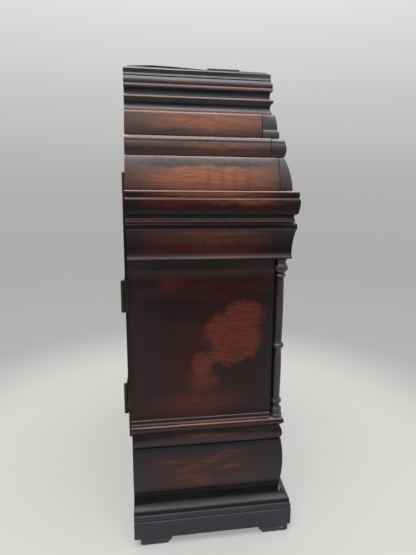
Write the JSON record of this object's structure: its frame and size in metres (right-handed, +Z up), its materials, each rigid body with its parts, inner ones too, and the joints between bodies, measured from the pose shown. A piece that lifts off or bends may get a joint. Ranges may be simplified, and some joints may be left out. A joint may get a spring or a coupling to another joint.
{
  "type": "bracket clock",
  "caption": "Dark hardwood bracket clock with a stepped, moulded pediment, corner columns, hinged doors at front and back, and a chain-driven movement with dial, pendulum and bell.",
  "frame": {"origin": "middle of the case's footprint, on the surface that the four feet stand on", "axes": "+Z up, the dial and the front door look along -Y, the rear door along +Y, +X to the right as seen from the dial side"},
  "size_m": [0.2504, 0.1386, 0.3825],
  "materials": {
    "dark_wood": "worn dark stain under old polish",
    "red_wood": "worn red-brown stain under old polish",
    "figured_wood": "figured orange-brown veneer, polished",
    "plain_wood": "bare, oiled",
    "brass": "lacquered, fine brushed",
    "aged_brass": "dull, aged",
    "steel": "fine brushed",
    "blackened_steel": "blued, dark",
    "dial_enamel": "white enamel on a metal disc",
    "bell_metal": "turned, warm",
    "clear_glass": "clear"
  },
  "bodies": {
    "case": {"foot_back_left": "dark_wood", "foot_front_left": "dark_wood", "foot_back_right": "dark_wood", "foot_front_right": "dark_wood", "plinth_moulding": "dark_wood", "bottom_board": "plain_wood", "base_frieze": "dark_wood", "sill_moulding": "dark_wood", "back_rail": "dark_wood", "side_panel_left": "red_wood", "side_panel_right": "red_wood", "front_frame": "dark_wood", "column_left": "dark_wood", "column_right": "dark_wood", "frieze_moulding": "red_wood", "cornice_moulding": "red_wood", "lower_tier_front": "figured_wood", "lower_tier_left": "figured_wood", "lower_tier_right": "figured_wood", "torus_front": "red_wood", "torus_left": "red_wood", "torus_right": "red_wood", "upper_tier_front": "figured_wood", "upper_tier_left": "figured_wood", "upper_tier_right": "figured_wood", "crown_moulding": "dark_wood", "top_board": "dark_wood", "pediment_back": "dark_wood", "rear_hinge_lower_fixed_leaf": "aged_brass", "rear_hinge_upper_fixed_leaf": "aged_brass", "seat_board": "plain_wood", "back_plate": "brass", "front_plate": "brass", "fusee_chain": "steel", "back_cock": "brass", "dial_mask": "brass", "dial": "dial_enamel", "bell": "bell_metal"},
    "rear_door_body": {"rear_door": "dark_wood", "rear_hinge_lower_door_leaf": "aged_brass", "rear_hinge_upper_door_leaf": "aged_brass"},
    "rear_catch_body": {"rear_turn_catch": "aged_brass"},
    "front_door_body": {"front_door_frame": "dark_wood", "front_door_glass": "clear_glass", "front_door_knob": "aged_brass"},
    "great_wheel_body": {"great_wheel": "brass"},
    "fusee_body": {"fusee": "brass"},
    "barrel_body": {"mainspring_barrel": "brass"},
    "centre_wheel_body": {"centre_wheel": "brass"},
    "third_wheel_body": {"third_wheel": "brass"},
    "escape_wheel_body": {"escape_wheel": "brass"},
    "pallet_body": {"pallet_arbor": "steel"},
    "pendulum_body": {"pendulum_rod": "steel", "pendulum_bob": "brass"},
    "minute_body": {"cannon_pinion": "steel", "minute_hand": "blackened_steel"},
    "minute_wheel_body": {"minute_wheel": "brass"},
    "hour_body": {"hour_wheel": "brass", "hour_hand": "blackened_steel"},
    "hammer_body": {"strike_hammer": "steel"}
  },
  "joints": [
    {"name": "rear_door_hinge", "type": "hinge", "parent": "case", "child": "rear_door_body", "pos_m": [-0.1125, 0.06785, 0.17], "axis": [0, 0, 1], "range_deg": [0, 120]},
    {"name": "rear_catch_turn", "type": "hinge", "parent": "case", "child": "rear_catch_body", "pos_m": [0.112, 0.0665, 0.2], "axis": [0, -1, 0], "range_deg": [0, 90]},
    {"name": "front_door_hinge", "type": "hinge", "parent": "case", "child": "front_door_body", "pos_m": [0.0996, -0.05455, 0.172], "axis": [0, 0, 1], "range_deg": [0, 95]},
    {"name": "escape_wheel_spin", "type": "hinge", "parent": "case", "child": "escape_wheel_body", "pos_m": [0, 0, 0.20664], "axis": [0, 1, 0], "continuous": true},
    {"name": "third_wheel_spin", "type": "hinge", "parent": "case", "child": "third_wheel_body", "pos_m": [-0.01239, 0, 0.19119], "axis": [0, 1, 0], "continuous": true},
    {"name": "centre_wheel_spin", "type": "hinge", "parent": "case", "child": "centre_wheel_body", "pos_m": [0, 0, 0.1735], "axis": [0, 1, 0], "continuous": true},
    {"name": "great_wheel_spin", "type": "hinge", "parent": "case", "child": "great_wheel_body", "pos_m": [0.02036, 0, 0.15089], "axis": [0, 1, 0], "continuous": true},
    {"name": "fusee_wind", "type": "hinge", "parent": "great_wheel_body", "child": "fusee_body", "pos_m": [0.02036, 0, 0.15089], "axis": [0, 1, 0], "range_deg": [0, 4320]},
    {"name": "barrel_wind", "type": "hinge", "parent": "case", "child": "barrel_body", "pos_m": [-0.034, 0, 0.146], "axis": [0, 1, 0], "range_deg": [0, 2600]},
    {"name": "pendulum_swing", "type": "hinge", "parent": "case", "child": "pendulum_body", "pos_m": [0, 0.03085, 0.22502], "axis": [0, 1, 0], "range_deg": [-3, 3]},
    {"name": "pallet_swing", "type": "hinge", "parent": "case", "child": "pallet_body", "pos_m": [0, 0, 0.22502], "axis": [0, 1, 0], "range_deg": [-3, 3]},
    {"name": "minute_hand_spin", "type": "hinge", "parent": "case", "child": "minute_body", "pos_m": [0, -0.045, 0.1735], "axis": [0, 1, 0], "continuous": true},
    {"name": "minute_wheel_spin", "type": "hinge", "parent": "case", "child": "minute_wheel_body", "pos_m": [0, -0.035, 0.16006], "axis": [0, 1, 0], "continuous": true},
    {"name": "hour_hand_spin", "type": "hinge", "parent": "case", "child": "hour_body", "pos_m": [0, -0.04, 0.1735], "axis": [0, 1, 0], "continuous": true},
    {"name": "hammer_lift", "type": "hinge", "parent": "case", "child": "hammer_body", "pos_m": [0.037, 0, 0.222], "axis": [0, 1, 0], "range_deg": [0, 12], "stiffness_Nm_per_rad": 0.005, "springref_deg": -11.46}
  ],
  "couplings": [
    {"joint": "third_wheel_spin", "follows": "escape_wheel_spin", "ratio": -0.1},
    {"joint": "centre_wheel_spin", "follows": "escape_wheel_spin", "ratio": 0.0090909},
    {"joint": "great_wheel_spin", "follows": "escape_wheel_spin", "ratio": -0.00075758},
    {"joint": "barrel_wind", "follows": "fusee_wind", "ratio": 0.6},
    {"joint": "pallet_swing", "follows": "pendulum_swing", "ratio": 1},
    {"joint": "minute_wheel_spin", "follows": "minute_hand_spin", "ratio": -0.33333},
    {"joint": "hour_hand_spin", "follows": "minute_hand_spin", "ratio": 0.083333}
  ]
}
